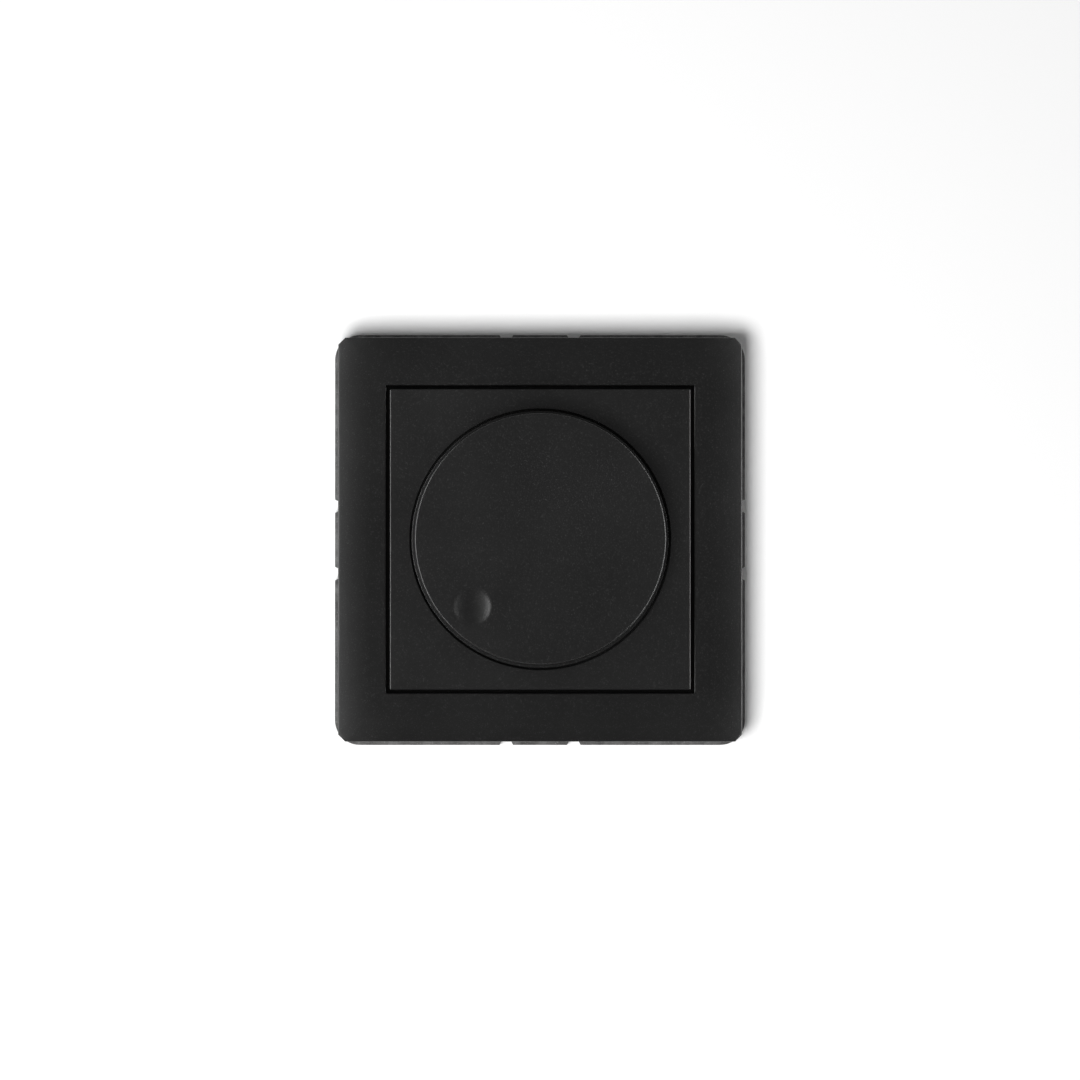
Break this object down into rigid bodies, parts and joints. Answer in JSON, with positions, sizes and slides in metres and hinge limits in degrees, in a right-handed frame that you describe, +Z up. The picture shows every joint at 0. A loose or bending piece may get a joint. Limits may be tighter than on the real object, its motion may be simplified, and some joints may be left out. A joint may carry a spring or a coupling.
{
  "type": "flush-mounted rotary dimmer switch",
  "caption": "Flush wall dimmer: square matt black frame and centre plate, large round push-and-turn knob with a finger dimple, steel support plate and rear casing with claws.",
  "frame": {"origin": "middle of the pair of box-screw slots, on the support plate's rear face, which lies on the wall", "axes": "+Z up the wall, -Y out of the wall towards the room, +X to the right as seen from the room"},
  "size_m": [0.0858, 0.0429, 0.0858],
  "materials": {
    "black_plastic": "fine matt spark texture",
    "grey_plastic": "plain matt moulding",
    "casing_plastic": "plain matt moulding",
    "dark_resin": "fine matt resin",
    "ivory_plastic": "natural nylon, satin",
    "blue_plastic": "satin",
    "capacitor_can": "shrunk sleeve",
    "board": "solder resist",
    "carbon": "printed carbon",
    "ferrite": "pressed ferrite",
    "zinc_steel": "zinc plated sheet",
    "screw_steel": "yellow-white passivated zinc",
    "spring_steel": "bright drawn wire",
    "sheet_aluminium": "mill finish",
    "plated_brass": "nickel plated",
    "bronze": "bright rolled",
    "copper_wire": "enamelled wire",
    "fuse_glass": "clear"
  },
  "bodies": {
    "base": {"front_frame": "black_plastic", "centre_plate": "black_plastic", "under_frame": "grey_plastic", "plate_nut": "plated_brass", "pot_bushing": "plated_brass", "pot_body": "dark_resin", "pot_track": "carbon", "pot_pins": "bronze", "switch_body": "dark_resin", "switch_spring": "spring_steel", "support_plate": "zinc_steel", "casing": "casing_plastic", "casing_cover": "casing_plastic", "cover_screws": "screw_steel", "circuit_board": "board", "trimmer_body": "blue_plastic", "triac": "dark_resin", "triac_screw": "screw_steel", "heat_spreader": "sheet_aluminium", "choke_core": "ferrite", "choke_winding": "copper_wire", "film_capacitor": "blue_plastic", "electrolytic_capacitor": "capacitor_can", "fuse_tube": "fuse_glass", "fuse_caps": "plated_brass", "fuse_clips": "bronze", "terminal_block": "ivory_plastic", "terminal_bars": "bronze", "claw_pins": "screw_steel"},
    "dimmer_rotor": {"pot_rotor": "ivory_plastic", "pot_wiper": "bronze"},
    "knob": {"knob": "black_plastic", "knob_clip": "spring_steel", "shaft": "plated_brass"},
    "switch_plunger": {"switch_plunger": "ivory_plastic"},
    "trimmer_rotor": {"trimmer_rotor": "ivory_plastic"},
    "terminal_screw_1": {"terminal_screw_1": "screw_steel"},
    "terminal_cage_1": {"terminal_cage_1": "plated_brass"},
    "terminal_screw_2": {"terminal_screw_2": "screw_steel"},
    "terminal_cage_2": {"terminal_cage_2": "plated_brass"},
    "terminal_screw_3": {"terminal_screw_3": "screw_steel"},
    "terminal_cage_3": {"terminal_cage_3": "plated_brass"},
    "claw_screw_left": {"claw_screw_left": "screw_steel"},
    "claw_left": {"claw_left": "zinc_steel"},
    "claw_screw_right": {"claw_screw_right": "screw_steel"},
    "claw_right": {"claw_right": "zinc_steel"}
  },
  "joints": [
    {"name": "dimmer_turn", "type": "hinge", "parent": "base", "child": "dimmer_rotor", "pos_m": [0, 0, 0], "axis": [0, 1, 0], "range_deg": [0, 270]},
    {"name": "knob_push", "type": "slide", "parent": "dimmer_rotor", "child": "knob", "axis": [0, 1, 0], "range_m": [0, 0.0012], "stiffness_N_per_m": 600, "springref_m": -0.002},
    {"name": "switch_plunger_push", "type": "slide", "parent": "base", "child": "switch_plunger", "axis": [0, 1, 0], "range_m": [0, 0.0012], "deforming": ["switch_spring"]},
    {"name": "trimmer_turn", "type": "hinge", "parent": "base", "child": "trimmer_rotor", "pos_m": [-0.0164, 0, -0.0105], "axis": [0, 1, 0], "range_deg": [-120, 120]},
    {"name": "terminal_screw_1_turn", "type": "hinge", "parent": "base", "child": "terminal_screw_1", "pos_m": [-0.009, 0, -0.0185], "axis": [0, -1, 0], "range_deg": [0, 1084]},
    {"name": "terminal_cage_1_lift", "type": "slide", "parent": "base", "child": "terminal_cage_1", "axis": [0, 1, 0], "range_m": [0, 0.0018]},
    {"name": "terminal_screw_2_turn", "type": "hinge", "parent": "base", "child": "terminal_screw_2", "pos_m": [0, 0, -0.0185], "axis": [0, -1, 0], "range_deg": [0, 1084]},
    {"name": "terminal_cage_2_lift", "type": "slide", "parent": "base", "child": "terminal_cage_2", "axis": [0, 1, 0], "range_m": [0, 0.0018]},
    {"name": "terminal_screw_3_turn", "type": "hinge", "parent": "base", "child": "terminal_screw_3", "pos_m": [0.009, 0, -0.0185], "axis": [0, -1, 0], "range_deg": [0, 1084]},
    {"name": "terminal_cage_3_lift", "type": "slide", "parent": "base", "child": "terminal_cage_3", "axis": [0, 1, 0], "range_m": [0, 0.0018]},
    {"name": "claw_screw_left_turn", "type": "hinge", "parent": "base", "child": "claw_screw_left", "pos_m": [-0.0259, 0, -0.0075], "axis": [0, 1, 0], "range_deg": [0, 1010]},
    {"name": "claw_left_swing", "type": "hinge", "parent": "base", "child": "claw_left", "pos_m": [-0.0226, 0.002, -0.0075], "axis": [0, 0, 1], "range_deg": [0, 24.05]},
    {"name": "claw_screw_right_turn", "type": "hinge", "parent": "base", "child": "claw_screw_right", "pos_m": [0.0259, 0, 0.0075], "axis": [0, 1, 0], "range_deg": [0, 1010]},
    {"name": "claw_right_swing", "type": "hinge", "parent": "base", "child": "claw_right", "pos_m": [0.0226, 0.002, 0.0075], "axis": [0, 0, -1], "range_deg": [0, 24.05]}
  ],
  "couplings": [
    {"joint": "switch_plunger_push", "follows": "knob_push", "ratio": 1},
    {"joint": "terminal_screw_1_turn", "follows": "terminal_cage_1_lift", "rad_per_m": 10472},
    {"joint": "terminal_screw_2_turn", "follows": "terminal_cage_2_lift", "rad_per_m": 10472},
    {"joint": "terminal_screw_3_turn", "follows": "terminal_cage_3_lift", "rad_per_m": 10472},
    {"joint": "claw_left_swing", "follows": "claw_screw_left_turn", "ratio": 0.023762},
    {"joint": "claw_right_swing", "follows": "claw_screw_right_turn", "ratio": 0.023762}
  ]
}
